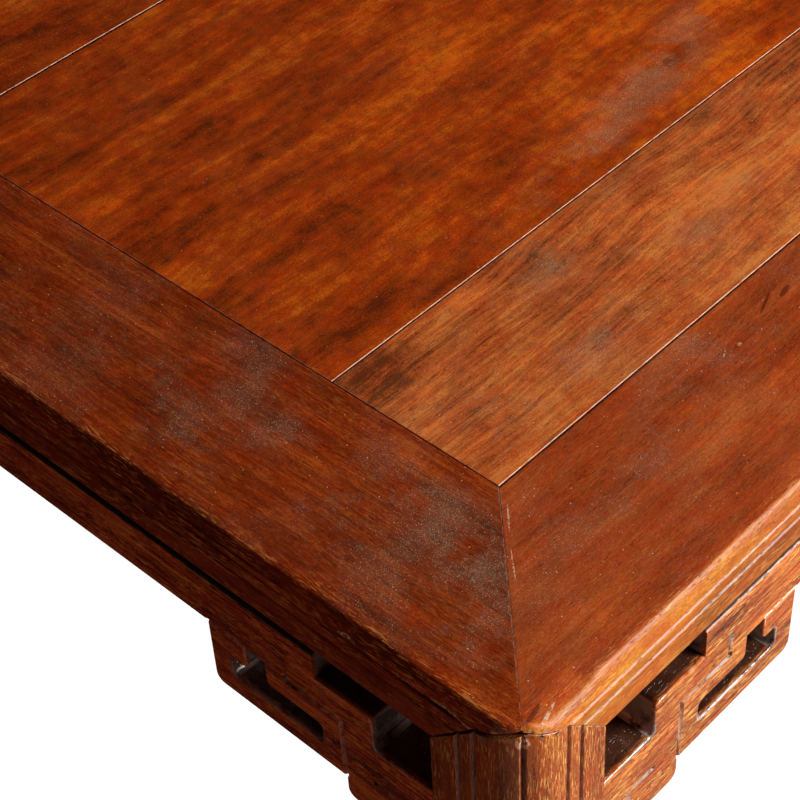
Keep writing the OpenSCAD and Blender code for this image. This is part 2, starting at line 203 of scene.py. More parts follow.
class Wood(Tree):
    """Dense oiled hardwood, worked out in millimetres along and across its grain.

    It starts as clean wood, with tones from dark to light. Each call that follows lays wear,
    dirt, wax, dust, painted light or painted shade over what is there, and finished() closes it.
    """

    def __init__(self, name, grain, offset, tones, figure=1.0, streaks=1.0, blotches=0.4,
                 mottle=0.3, wild=1.5, shade=None, polish=0.34):
        self.material = new_material(name)
        super().__init__(self.material.node_tree)
        self.measure(grain, offset, wild)
        self.grow(tones, figure, streaks, blotches, mottle, shade)
        self.roughness = (polish + (self.fine - 0.5) * 0.2 + self.pores * 0.12
                          + (self.streak - 0.5) * 0.12 - self.hollow * 0.1)
        # No painted glints until the openwork finish adds them.
        self.painted_glint = 0.0

    def measure(self, grain, offset, wild):
        """Find the way of the grain, the place on the table and the wear on the mesh."""
        local = self.node("ShaderNodeTexCoord", out="Object")
        self.place = self.vectors("MULTIPLY", local, (1.0 / MM,) * 3)
        shifted = self.vectors("ADD", self.place, offset)
        order = {"x": (0, 1, 2), "y": (1, 0, 2), "z": (2, 0, 1)}[grain]
        self.along, self.across, self.deep = (self.part(shifted, axis) for axis in order)
        drift = self.layer(310.0, 120.0, detail=2.0)
        ripple = self.layer(46.0, 17.0, detail=2.0, salt=7.0)
        self.across = self.across + (drift - 0.5) * (10.0 * wild) + (ripple - 0.5) * wild

        sides = self.node("ShaderNodeVectorMath", {"operation": "ABSOLUTE"}, {0: self.place})
        self.depth = TOP_W / 2 / MM - self.part(sides, 0).or_more(self.part(sides, 1))
        self.height = self.part(self.place, 2)
        self.level = self.part(self.node("ShaderNodeNewGeometry", out="Normal"), 2)
        self.upward = self.level.between(0.8, 0.98)
        self.arris = self.stored("arris")
        self.hollow = self.stored("hollow")
        self.patchy = self.speckle(4.8)

    def grow(self, tones, figure, streaks, blotches, mottle, shade):
        """Colour the wood: clouds, streaks, strokes and blotches of its figure, and pores."""
        cloud = self.layer(75.0, 26.0, salt=3.0)
        blotch = self.layer(38.0, 9.0, detail=5.0, roughness=0.62, salt=29.0)
        self.streak = self.layer(80.0, 2.4, detail=4.0, roughness=0.65)
        self.stroke = self.layer(15.0, 0.8, roughness=0.7, salt=11.0)
        self.fine = self.layer(1.5, 0.8, detail=2.0, roughness=0.8)
        self.pores = self.layer(4.2, 0.62, detail=1.0, salt=5.0).between(0.62, 0.74)
        tone = (0.5 + (cloud - 0.5) * (1.2 * figure) + (self.streak - 0.5) * (1.3 * streaks)
                + (self.stroke - 0.5) * (0.9 * streaks) + (blotch - 0.5) * blotches
                + (self.speckle(8.0, 5.0, 0.66) - 0.5) * mottle + (self.fine - 0.5) * 0.9)
        if shade:
            axis, low, high, amount = shade
            tone = tone + (self.part(self.place, axis).between(low, high) - 0.55) * amount
        self.dark, middle, self.light = tones
        self.colour = self.mix(tone.between(0.0, 0.56), self.dark, middle)
        self.colour = self.mix(tone.between(0.45, 1.0), self.colour, self.light)
        hue = self.layer(22.0, 9.0, salt=31.0).between(0.36, 0.64)
        self.tint(self.mix(hue, (1.06, 0.9, 0.82), (0.96, 1.08, 1.1)))
        self.coat(self.pores * 0.5, self.darker(0.3))

    def noise(self, vector, detail, roughness):
        return self.node("ShaderNodeTexNoise", inputs={
            "Vector": vector, "Scale": 1.0, "Detail": detail, "Roughness": roughness})

    def layer(self, length, width, detail=3.0, roughness=0.6, salt=0.0):
        """Noise drawn out along the grain, in features of length by width."""
        return self.noise(
            self.vector(self.along / length + salt, self.across / width, self.deep / width),
            detail, roughness)

    def speckle(self, size, detail=3.0, roughness=0.5):
        """Noise of the same size in all directions."""
        return self.noise(
            self.vectors("MULTIPLY", self.place, (1 / size,) * 3), detail, roughness)

    def dots(self, pitch, near, far, share):
        """Round dots in a share of the cells of a pitch, fading out from near to far."""
        distance, cell = self.node("ShaderNodeTexVoronoi", inputs={
            "Vector": self.place, "Scale": 1.0 / pitch}, out=("Distance", "Color"))
        chosen = (share - self.part(cell, 0)).between(0.0, 0.12)
        return (1.0 - distance.between(near / pitch, far / pitch)) * chosen

    def spot(self, middle, size, turn):
        """1 in the middle of an oval, fading to 0 at its rim. Sizes are half lengths."""
        local = self.node("ShaderNodeMapping", {"vector_type": "TEXTURE"}, {
            "Vector": self.place, "Location": middle,
            "Rotation": (0.0, 0.0, math.radians(turn)), "Scale": size})
        return 1.0 - self.node(
            "ShaderNodeVectorMath", {"operation": "LENGTH"}, {0: local}, out="Value"
        ).between(0.15, 1.0)

    def stored(self, name):
        return self.node("ShaderNodeAttribute", {"attribute_name": name}, out="Fac")

    def darker(self, gain):
        """The wood's dark tone, times a gain."""
        return tuple(gain * part for part in self.dark)

    def tint(self, tone):
        self.colour = self.vectors("MULTIPLY", self.colour, tone)

    def coat(self, where, tone):
        """Lay a colour over the wood where a mask says."""
        self.colour = self.mix(where, self.colour, tone)

    def paint_light_on_moulding(self, tone):
        """Tint the moulded edge apart from the level top: painted light and shade on its sides.
        """
        self.tint(self.mix(self.level.between(0.88, 0.99), tone, (1.0, 1.0, 1.0)))

    def paint_glint_flecks(self, strength, tone):
        """Painted glints: short bright dashes along the grain, most of them at the table's rim.
        """
        bright = self.layer(6.5, 0.55, detail=1.0, salt=17.0).between(0.55, 0.64)
        places = self.layer(34.0, 7.0, detail=3.0, salt=23.0).between(0.34, 0.6)
        rim = 1.0 - self.depth.between(3.0, 12.0) * 0.8
        self.coat(bright * places * rim * strength, tone)

    def stain(self, marks):
        """Dark marks, each given by its middle, half lengths and turn."""
        for middle, size, turn in marks:
            self.coat(self.spot(middle, size, turn).between(0.0, 0.6) * 0.7, self.darker(0.4))

    def wear_edges(self):
        """Arrises that hands have rubbed paler."""
        worn = tuple(min(1.0, 1.2 * part + 0.01) for part in self.light)
        self.coat(self.arris * self.patchy.between(0.3, 0.7) * 0.6, worn)

    def age_moulding(self, dullness):
        """A lip that use has dulled, and the grooves under it darkened."""
        under, lip = UNDER_Z / MM, LIP_Z / MM
        self.roughness = self.roughness + (1.0 - self.depth.between(3.0, 9.0)) * (
            self.height.between(lip - 2.0, lip + 1.0)) * dullness
        groove = (self.depth.between(0.4, 1.1) * self.height.between(under + 5.0, under + 8.0)
                  * (1.0 - self.height.between(lip - 0.9, lip - 0.2)))
        self.coat(groove * 0.85, self.darker(0.5))

    def fill_joint(self, rear):
        """Old wax on the edges of a joint, and a painted shadow line where it opens at the rear.
        """
        self.coat(self.arris * self.patchy.between(0.25, 0.6), JOINT_FILLER)
        self.roughness = self.roughness + self.arris * 0.3
        behind = self.part(self.place, 1).between(rear - 1.2, rear - 0.7)
        self.coat(behind * self.patchy.between(0.2, 0.4), JOINT_SHADOW)

    def whiten_edges(self, strength):
        """Arrises bruised down to pale wood, in patches."""
        self.coat(self.arris * self.patchy.between(0.4, 0.62) * strength, PALE_EDGE)

    def fill_hollows(self, wax=0.0):
        """Every inner corner darkened, with a share of pale crust that is wax and painted
        highlight.
        """
        crust = self.speckle(9.0, 4.0, 0.6).between(0.36, 0.56)
        self.coat(self.hollow * 0.9, self.mix(crust * wax, self.darker(0.25), WAX_AND_PAINTED_HIGHLIGHT))

    def break_out(self, marks):
        """Raw wood where splinters have gone, given as stains are."""
        for middle, size, turn in marks:
            broken = self.spot(middle, size, turn).between(0.05, 0.45)
            self.coat(broken * self.speckle(1.6, 4.0, 0.7).between(0.42, 0.54), RAW_WOOD)

    def dust(self, haze, tone, smears=()):
        """A film of dust on what faces up, wiped into smears: place, size, turn, strength."""
        patches = self.speckle(42.0, 6.0, 0.68)
        film = patches.between(0.42, 0.72) * haze
        for at, size, turn, strength in smears:
            wiped = self.spot((*at, TOP_Z / MM), (*size, 500.0), turn)
            film = film + wiped * patches.between(0.40, 0.64) * strength
        film = film * self.upward
        powder = self.speckle(1.3, 3.0, 0.8).between(0.4, 0.62)
        self.coat(film * (0.5 + powder * 0.5), tone)
        self.coat(self.dots(0.62, 0.08, 0.27, film * 1.1) * 0.5, DUST_GRAIN)
        self.roughness = self.roughness + film * 0.2

    def speck(self, strength):
        """Single coarse grains of dust."""
        self.coat(self.dots(3.4, 0.14, 0.42, 0.3) * self.upward * strength, DUST_SPECK)

    def finished(self, gloss=0.4):
        """Close the finish, with open pores and a hand-planed surface under the polish."""
        wave = self.speckle(28.0, 1.0)
        relief = self.fine * 0.4 + self.stroke * 0.3 - self.pores * 0.8 + wave * 3.0
        bump = self.node("ShaderNodeBump", inputs={
            "Strength": 1.0, "Distance": 0.00012, "Height": relief})
        # Metallic carries the painted glints.
        self.end(self.node("ShaderNodeBsdfPrincipled", inputs={
            "Base Color": self.colour, "Roughness": self.roughness, "Metallic": self.painted_glint,
            "Normal": bump, "Specular IOR Level": gloss}))
        return self.material


def settle(piece):
    """Turn a piece and its modifiers into a plain mesh, then drop the modifiers."""
    graph = bpy.context.evaluated_depsgraph_get()
    plain = bpy.data.meshes.new_from_object(piece.evaluated_get(graph))
    old = piece.data
    piece.modifiers.clear()
    piece.data = plain
    bpy.data.meshes.remove(old)
    return piece


def new_piece(name, bm, outwards=True):
    """Make an object at the origin from a bmesh, with its faces pointing outwards."""
    if outwards:
        bmesh.ops.recalc_face_normals(bm, faces=bm.faces)
    mesh = bpy.data.meshes.new(name)
    bm.to_mesh(mesh)
    bm.free()
    piece = bpy.data.objects.new(name, mesh)
    bpy.context.collection.objects.link(piece)
    return piece


def skin_rings(rings):
    """A closed body through rings of places, all with the same number of points."""
    bm = bmesh.new()
    rows = [[bm.verts.new(place) for place in ring] for ring in rings]
    for one, two in zip(rows, rows[1:]):
        for k in range(len(one)):
            n = (k + 1) % len(one)
            bm.faces.new((one[k], one[n], two[n], two[k]))
    bm.faces.new(rows[0])
    bm.faces.new(reversed(rows[-1]))
    return bm


def prism(name, outline, place, near, far):
    """A closed prism: outline points are turned into places by place(u, v, w)."""
    return new_piece(name, skin_rings(
        [[place(u, v, w) for u, v in outline] for w in (near, far)]))


def eased(outline, reach):
    """Round off the corners that stand out of an anticlockwise outline."""
    sharper_than = 30.0
    made = []
    for k, at in enumerate(outline):
        at = Vector(at)
        back = Vector(outline[k - 1]) - at
        on = Vector(outline[(k + 1) % len(outline)]) - at
        turn = math.degrees(math.atan2(on.x * back.y - on.y * back.x, -on.dot(back)))
        if turn < sharper_than:
            made.append(tuple(at))
            continue
        step = min(reach, 0.4 * back.length, 0.4 * on.length)
        near, far = at + back.normalized() * step, at + on.normalized() * step
        made += [tuple(near), tuple(0.25 * near + 0.5 * at + 0.25 * far), tuple(far)]
    return made


def carve(piece, tool, operation="DIFFERENCE"):
    """Cut a tool away from a piece, or keep what the two share, and use the tool up."""
    cut = piece.modifiers.new("carve", "BOOLEAN")
    cut.operation = operation
    cut.solver = "EXACT"
    cut.object = tool
    settle(piece)
    mesh = tool.data
    bpy.data.objects.remove(tool)
    bpy.data.meshes.remove(mesh)


def ease_edges(piece, width):
    """Take the sharpness off every outer arris, as a scraper and use do."""
    sharper_than = 42.0
    bm = bmesh.new()
    bm.from_mesh(piece.data)
    bmesh.ops.remove_doubles(bm, verts=bm.verts, dist=0.02 * MM)
    bmesh.ops.dissolve_degenerate(bm, edges=bm.edges, dist=0.02 * MM)
    weights = bm.edges.layers.float.new("bevel_weight_edge")
    for edge in bm.edges:
        if len(edge.link_faces) == 2:
            turn = math.degrees(edge.calc_face_angle_signed(0.0))
            edge[weights] = 1.0 if turn > sharper_than else 0.0
    bm.to_mesh(piece.data)
    bm.free()
    round_marked(piece, width, segments=2)


def round_marked(piece, width, segments):
    """Round the edges that carry a bevel weight."""
    bevel = piece.modifiers.new("ease", "BEVEL")
    bevel.width = width
    bevel.segments = segments
    bevel.limit_method = "WEIGHT"
    bevel.use_clamp_overlap = False
    settle(piece)
    piece.data.attributes.remove(piece.data.attributes["bevel_weight_edge"])


def note_wear(piece, fillets):
    """Store where narrow faces stand out or lie in, for wear, wax, painted highlights and
    darkened hollows in the finish.

    With fillets, a hollow rounding of small faces counts as one sharp inner corner.
    """
    narrow_face, fillet_face, shallow, span = 3.2 * MM, 1.6 * MM, 26.0, 14.0
    mesh = piece.data
    bm = bmesh.new()
    bm.from_mesh(mesh)
    arris = [0.0] * len(bm.verts)
    hollow = [0.0] * len(bm.verts)
    breadth = [face.calc_area() / max(edge.calc_length() for edge in face.edges)
               for face in bm.faces]
    for edge in bm.edges:
        if len(edge.link_faces) != 2:
            continue
        angle = math.degrees(edge.calc_face_angle_signed(0.0))
        if fillets and angle < -4.0 and all(
                breadth[face.index] < fillet_face for face in edge.link_faces):
            angle = -(shallow + span)
        for vertex in edge.verts:
            k = vertex.index
            arris[k] = max(arris[k], min(1.0, (angle - shallow) / span))
            hollow[k] = max(hollow[k], min(1.0, (-angle - shallow) / span))
    at_arris, at_hollow = [], []
    for face in bm.faces:
        narrow = breadth[face.index] < narrow_face
        for vertex in face.verts:
            at_arris.append(arris[vertex.index] if narrow else 0.0)
            at_hollow.append(hollow[vertex.index] if narrow else 0.0)
    bm.free()
    for name, values in (("arris", at_arris), ("hollow", at_hollow)):
        layer = mesh.attributes.new(name, "FLOAT", "CORNER")
        layer.data.foreach_set("value", values)
    mesh.shade_smooth()
    mesh.set_sharp_from_angle(angle=math.radians(38.0))
    flat = piece.modifiers.new("flat", "WEIGHTED_NORMAL")
    flat.keep_sharp = True
    settle(piece)


def dress(piece, material, node, fillets=False):
    """Give a finished piece its material and its place on the table."""
    note_wear(piece, fillets)
    piece.data.materials.clear()
    piece.data.materials.append(material)
    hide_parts(node)
    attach(piece, "root")


def side_turn(index):
    """Matrix that takes side-on places, x along from the corner, y inwards, to the table."""
    return (Matrix.Rotation(math.radians(90.0 * index), 4, "Z")
            @ Matrix.Translation((-TOP_W / 2, -TOP_W / 2, 0.0)))


# The lip from its lower edge up: depth in from the frame's face, and height over that edge.
LIP_CURVE = ((0.0, 0.0), (0.5, 2.1), (1.2, 4.2), (2.0, 6.2), (2.75, 7.7), (3.4, 8.6),
             (4.0, 9.12), (4.7, 9.4), (5.8, 9.5))


def lip_depth(height):
    """How far in the lip's surface lies at a height over the floor."""
    rise = (height - LIP_Z) / MM
    for (in0, up0), (in1, up1) in zip(LIP_CURVE, LIP_CURVE[1:]):
        if rise <= up1:
            return MM * (in0 + (in1 - in0) * max(0.0, rise - up0) / (up1 - up0))
    return MM * LIP_CURVE[-1][0]


def frame_profile():
    """The section of a member: depth in from the face, and height, round from the inner top.

    The flat of the top has steps for the mesh, and the crest more of them.
    """
    flat_end, steps = 16 * MM, 7
    points = [(FRAME_W + (flat_end - FRAME_W) * k / steps, TOP_Z) for k in range(steps + 1)]
    points += [(at * MM, TOP_Z) for at in (13.0, 10.5, 8.2)]
    points += [(MM * deep, LIP_Z + MM * up) for deep, up in reversed(LIP_CURVE)]
    for top in (UNDER_Z + BAND + 2 * GROOVE + BEAD, UNDER_Z + BAND + GROOVE):
        points.append((0.0, top))
        points.append((0.85 * GROOVE_DEEP, top - 0.3 * GROOVE))
        points.append((0.75 * GROOVE_DEEP, top - 0.5 * GROOVE))
        points.append((0.0, top - 1.05 * GROOVE))
    points += [(0.0, UNDER_Z + 2.2 * MM), (0.2 * MM, UNDER_Z + 1.1 * MM),
               (0.8 * MM, UNDER_Z + 0.3 * MM), (1.9 * MM, UNDER_Z), (FRAME_W, UNDER_Z)]
    points = [p for k, p in enumerate(points) if k == 0 or p != points[k - 1]]
    return eased(points, 0.5 * MM)


def lip_wear(u, z, salt):
    """Depth that handling has taken off the lip's crest, most near the corners."""
    crest_z, reach, corner_run = TOP_Z - 0.6 * MM, 3.0 * MM, 90 * MM
    crest = max(0.0, 1.0 - abs(z - crest_z) / reach)
    near_corner = max(0.0, 1.0 - min(u, TOP_W - u) / corner_run)
    rough = 0.5 + noise.noise((u * 70.0, salt, z * 90.0)) + 0.5 * noise.noise(
        (u * 260.0, salt, z * 300.0))
    return MM * crest * max(0.0, rough) * (0.22 + 0.35 * near_corner)


# Rings of a member: round the corner, on to the end of the fan from the mitre, and between.
ARC_RINGS, FAN_RINGS, RUN_RINGS = 14, 32, 130
FAN_END = 115 * MM


def fan_place(depth, k):
    """Where ring k of a member's end lies at a depth from the face. Ring 0 is the mitre."""
    if depth >= CORNER_R:
        return depth + (FAN_END - depth) * k / (ARC_RINGS + FAN_RINGS), depth
    if k > ARC_RINGS:
        return CORNER_R + (FAN_END - CORNER_R) * (k - ARC_RINGS) / FAN_RINGS, depth
    turn = math.radians(225.0 + 45.0 * k / ARC_RINGS)
    radius = CORNER_R - depth
    return CORNER_R + radius * math.cos(turn), CORNER_R + radius * math.sin(turn)


def worn_place(u, v, z, depth, salt, chips, facets):
    """Where use has left a point of a member: rubbed at the crest, chipped or worn flat."""
    crest_end, chips_end = 12 * MM, 6 * MM
    taken = 0.0
    if depth < crest_end and z > LIP_Z - MM:
        taken = lip_wear(u, z, salt)
    for at, length, reach_in, drop in facets:
        off = abs(u - at) / length
        rise = (z - LIP_Z) / LIP
        if off < 1.0 and depth < reach_in and rise > 0.3:
            fall = min(1.0 - depth / reach_in, 0.6) / 0.6 * (rise - 0.3) / 0.7
            z -= drop * (1.0 - off ** 4) * fall
    for at, height, length, deep in chips:
        off = max(abs(u - at) / length, abs(z - height) / CHIP_HEIGHT)
        if depth < chips_end and off < 1.0:
            ragged = 0.7 + noise.noise((u * 400.0, z * 700.0, salt))
            taken += deep * (1.0 - off) * ragged
    middle = Vector((min(max(u, CORNER_R), TOP_W - CORNER_R), CORNER_R))
    inward = middle - Vector((u, v))
    if taken and inward.length > 0.0:
        inward.normalize()
        u, v, z = u + inward.x * taken, v + inward.y * taken, z - 0.5 * taken
    return u, v, z


def frame_blank(name, salt, chips, facets):
    """Sweep the section along a member, round both corners and onto the mitres."""
    profile = frame_profile()
    ends = ARC_RINGS + FAN_RINGS
    rings = [[(*fan_place(depth, k), z, depth) for depth, z in profile] for k in range(ends)]
    for k in range(RUN_RINGS + 1):
        u = FAN_END + (TOP_W - 2 * FAN_END) * k / RUN_RINGS
        rings.append([(u, depth, z, depth) for depth, z in profile])
    for ring in reversed(rings[:ends]):
        rings.append([(TOP_W - u, v, z, depth) for u, v, z, depth in ring])
    return new_piece(name, skin_rings(
        [[worn_place(*point, salt, chips, facets) for point in ring] for ring in rings]))


def leg_pocket(at_far_end, looseness):
    """The space that the leg's mitred head takes out of a member at one end."""
    spare = 2 * MM
    outline = ((-spare, -spare), (LEG_W, -spare), (LEG_W, 0.0),
               (LEG_W - MITRE_RISE, MITRE_RISE + looseness),
               (TIP_IN, LEG_TIP + looseness), (-spare, LEG_TIP + looseness))
    along = prism("pocket", outline, lambda u, v, w: (u, w, UNDER_Z + v), -spare, LEG_W)
    across = prism("pocket", outline, lambda u, v, w: (w, u, UNDER_Z + v), -spare, LEG_W)
    carve(along, across, "INTERSECT")
    if at_far_end:
        mirrored = Matrix.Scale(-1, 4, (1, 0, 0))
        along.data.transform(Matrix.Translation((TOP_W, 0, 0)) @ mirrored)
        along.data.flip_normals()
    return along


FRAME_ARRIS = 0.3 * MM
FRAME_TONES = {
    "front": ((0.16, 0.020, 0.004), (0.41, 0.060, 0.010), (0.66, 0.15, 0.030)),
    "right": ((0.16, 0.022, 0.005), (0.40, 0.066, 0.015), (0.62, 0.15, 0.040)),
    "back": ((0.17, 0.022, 0.005), (0.41, 0.068, 0.015), (0.63, 0.15, 0.040)),
    "left": ((0.07, 0.008, 0.001), (0.235, 0.024, 0.002), (0.54, 0.085, 0.009)),
}
# The left member is darker than the rest, its lip keeps more shine and its mitre has opened.
# The moulding tint is painted light on the lit members and painted shade on the left one. The
# bright grain dashes are painted glints.
LEFT_LOOK = {"mitre": 0.9 * MM, "streaks": 0.75, "moulding": (0.9, 0.9, 0.9), "lip": 0.06,
             "glint_flecks": (0.8, (0.9, 0.30, 0.06)), "film": (0.23, 0.115, 0.062)}
MAIN_LOOK = {"mitre": 0.15 * MM, "streaks": 0.5, "moulding": (0.95, 1.5, 0.5), "lip": 0.12,
             "glint_flecks": (0.4, (1.0, 0.5, 0.14)), "film": (0.32, 0.125, 0.06)}
# Dust smears: place on the table, half lengths, turn and strength.
FRAME_SMEARS = {
    "front": (((-361, -440), (70, 16), 3, 0.4), ((-290, -420), (110, 34), 5, 0.3),
              ((-150, -440), (150, 46), 5, 0.4)),
    "left": (((-463, -250), (90, 26), 72, 0.35), ((-440, -310), (110, 30), 66, 0.35),
             ((-430, -400), (90, 24), 80, 0.45), ((-455, -420), (70, 40), 100, 0.3),
             ((-472, -450), (60, 24), 95, 0.3)),
}
# Dark stains and raw spots: middle, half lengths and turn.
FRAME_STAINS = {
    "front": (((-215, -419, 830), (7, 2.0, 8), 12), ((-228, -417, 830), (12, 1.0, 8), 20),
              ((-483, -490, 830), (9, 1.6, 3), 14)),
    "left": (((-500, -440, 826), (5, 30, 1.4), 0), ((-500, -330, 824), (5, 60, 1.2), 0)),
}
FRAME_RAW = {
    "front": (((-259, -425, 830), (1.8, 1.3, 3), 20), ((-268.5, -423.4, 830), (5, 0.5, 3), 28),
              ((-411, -415, 830), (11, 0.6, 3), 44), ((-430, -434, 830), (12, 0.5, 3), 47),
              ((-479, -494, 829), (10, 1.2, 3), 18)),
    "left": (((-500, -458, 821), (4, 11, 1.8), 0), ((-500, -471, 819.5), (4, 12, 1.6), 0),
             ((-497, -487, 825), (6, 9, 1.6), 0), ((-500, -436, 820), (4, 9, 1.5), 0),
             ((-500, -403, 822), (4, 7, 1.3), 0)),
}
# Chips out of the lip: place along the member, height, half length and depth. Each reaches
# as far as CHIP_HEIGHT up and down.
CHIP_HEIGHT = 3.5 * MM
FRAME_CHIPS = {
    "left": ((0.977, LIP_Z + 0.5 * MM, 9 * MM, 0.5 * MM),
             (0.954, LIP_Z - 1.0 * MM, 14 * MM, 1.3 * MM),
             (0.936, LIP_Z, 6 * MM, 1.2 * MM),
             (0.903, LIP_Z + 2 * MM, 5 * MM, 1.1 * MM)),
}
# Facets worn onto the crest: place along the member, half length, reach inwards and drop.
FRAME_FACETS = {"front": ((0.030, 18 * MM, 13 * MM, 2.0 * MM),)}
random.seed(41)
for index, side in enumerate(SIDES):
    look = LEFT_LOOK if side == "left" else MAIN_LOOK
    chips = [(random.uniform(0.1, 0.9), random.choice((LIP_Z, LIP_Z, UNDER_Z + BAND + GROOVE)),
              random.uniform(2, 5) * MM, random.uniform(0.4, 1.0) * MM) for k in range(7)]
    chips += FRAME_CHIPS.get(side, ())
    member = frame_blank("top_frame_" + side, 3.0 + index, chips, FRAME_FACETS.get(side, ()))
    for far in (False, True):
        carve(member, leg_pocket(far, look["mitre"]))
    member.data.transform(side_turn(index))
    ease_edges(member, FRAME_ARRIS)
    wood = Wood(
        "frame_wood_" + side, "xy"[index % 2], (311.0 * index, 170.0 + 97.0 * index, 40.0),
        FRAME_TONES[side], streaks=look["streaks"])
    wood.paint_light_on_moulding(look["moulding"])
    wood.paint_glint_flecks(*look["glint_flecks"])
    wood.stain(FRAME_STAINS.get(side, ()))
    wood.wear_edges()
    wood.age_moulding(look["lip"])
    if side == "front":
        wood.fill_joint((FRAME_W - TOP_W / 2) / MM)
    wood.whiten_edges(0.35)
    wood.fill_hollows()
    wood.break_out(FRAME_RAW.get(side, ()))
    wood.dust(0.25, look["film"], FRAME_SMEARS.get(side, ()))
    wood.speck(0.8)
    dress(member, wood.finished(gloss=0.27), "frame_" + side)

# The panel: four boards of the same hardwood, tongued together and into the frame so that
# they can move with the seasons. Their arrises are eased, old wax and dust fill the joints, and
# a painted shadow lines each joint's rear edge.
BOARD_ARRIS = 0.45 * MM
BOARD_TONES = {
    1: ((0.16, 0.032, 0.007), (0.54, 0.106, 0.021), (0.86, 0.235, 0.044)),
    2: ((0.13, 0.017, 0.001), (0.44, 0.050, 0.002), (0.88, 0.16, 0.006)),
    3: ((0.13, 0.017, 0.001), (0.42, 0.048, 0.002), (0.84, 0.155, 0.007)),
    4: ((0.17, 0.035, 0.008), (0.50, 0.100, 0.020), (0.80, 0.22, 0.042)),
}
# The rear edge of each board at the surface, in millimetres on the table.
BOARD_REAR = {1: -298.0, 2: -0.6, 3: 297.6, 4: 400.0}
BOARD_SMEARS = {
    1: (((-265, -322), (50, 13), 8, 0.5), ((-215, -313), (45, 9), 8, 0.5),
        ((-300, -372), (90, 18), 0, 0.4), ((-180, -360), (70, 16), 4, 0.3)),
    2: (((-205, -280), (70, 16), 4, 0.5), ((-130, -266), (100, 26), 6, 0.5),
        ((-60, -245), (80, 20), 12, 0.35)),
}
BOARD_FILM = (0.44, 0.195, 0.082)
# Shade over a board: axis, where it is dark, where it is light, and how much it tells.
DARKER_AT_LEFT = (0, -440.0, -60.0, 0.16)
DARKER_BY_JOINT = (1, -300.0, -350.0, 0.25)


def cad_copy(node, name):
    """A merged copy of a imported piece, with flat faces whole again."""
    bm = bmesh.new()
    bm.from_mesh(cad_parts[node].data)
    bmesh.ops.remove_doubles(bm, verts=bm.verts, dist=1e-6)
    bmesh.ops.dissolve_limit(
        bm, angle_limit=math.radians(0.5), verts=bm.verts, edges=bm.edges)
    return new_piece(name, bm)


for number, tones in BOARD_TONES.items():
    node = "board_%d" % number
    board = cad_copy(node, "top_" + node)
    ease_edges(board, BOARD_ARRIS)
    if number in (2, 3):
        slot, streaks, blotches, haze = "wide_board_wood", 0.35, 0.6, 0.05
        shade = DARKER_AT_LEFT
    else:
        slot, streaks, blotches, haze = "narrow_board_wood", 0.9, 0.8, 0.25
        shade = DARKER_BY_JOINT
    wood = Wood(
        "board_wood_%d" % number, "x", (400.0 * number, 260.0 * number, 13.0 * number), tones,
        figure=1.1, streaks=streaks, blotches=blotches, mottle=0.8, wild=3.5, shade=shade)
    wood.wear_edges()
    wood.fill_joint(BOARD_REAR[number])
    wood.fill_hollows()
    wood.dust(haze, BOARD_FILM, BOARD_SMEARS.get(number, ()))
    wood.speck(0.6)
    dress(board, wood.finished(), node)

# The battens: three bars across the boards' underside, slid into dovetailed housings and
# tenoned into the front and back members. Planed, never polished.
BATTEN_ARRIS = 0.6 * MM
BATTEN_TONES = ((0.10, 0.035, 0.018), (0.26, 0.10, 0.045), (0.42, 0.19, 0.09))
wood = Wood("batten_wood", "y", (0.0, 90.0, 30.0), BATTEN_TONES, figure=0.8, polish=0.6)
wood.wear_edges()
wood.fill_hollows()
batten_finish = wood.finished()
for part in ("left", "middle", "right"):
    batten = cad_copy("batten_" + part, "under_batten_" + part)
    ease_edges(batten, BATTEN_ARRIS)
    dress(batten, batten_finish, "batten_" + part)

# The legs: square posts with the frame's moulding turned upright on both outer faces. Two
# rounded lobes meet at the outer corner. The head is cut to the three-way mitre and follows
# the lip's curve up to the tip of the corner. Each post is raised from its outline.
LEG_ARRIS = 0.4 * MM
LEG_BEVEL = 2.5 * MM
LEG_TOP = TOP_Z - 0.4 * MM
LEG_RINGS = 110
LEG_UNEVEN = 0.5 * MM
# Heights over the lip's lower edge at which a post gets rings to follow the lip's curve.
LIP_RINGS = (0.0, 2.1, 4.2, 6.2, 7.0)
# How far a post's mitres stay open: with the member that starts at its corner, and with the
# one that ends there.
MITRE_GAPS = (0.4 * MM, 1.6 * MM)
LEG_TONES = ((0.13, 0.018, 0.004), (0.32, 0.058, 0.008), (0.50, 0.125, 0.017))
# Tone of the painted glints in the grain.
GLINT_FLECK = (1.0, 0.52, 0.13)
CORNERS = ("front_left", "front_right", "back_right", "back_left")


def leg_outline():
    """The section of a leg, with the corner of the table at 0, 0."""
    face = []
    for far in (BAND, BAND + GROOVE + BEAD):
        face.append((0.0, LEG_W - far))
        face.append((GROOVE_DEEP, LEG_W - far - GROOVE / 2))
        face.append((0.0, LEG_W - far - GROOVE))
    arc = 15
    notch = math.degrees(GROOVE / 2 / CORNER_R)
    lobe = []
    for k in range(arc + 1):
        turn = math.radians(180.0 + (45.0 - notch) * k / arc)
        lobe.append((CORNER_R + CORNER_R * math.cos(turn), CORNER_R + CORNER_R * math.sin(turn)))
    half = face + [p for p in lobe if p[1] < face[-1][1] - 0.4 * MM]
    middle = CORNER_R - (CORNER_R - GROOVE_DEEP) * math.sqrt(0.5)
    return eased(
        [(LEG_W, LEG_W - LEG_BEVEL), (LEG_W - LEG_BEVEL, LEG_W), (0.0, LEG_W)] + half
        + [(middle, middle)] + [(y, x) for x, y in reversed(half)] + [(LEG_W, 0.0)], 0.6 * MM)


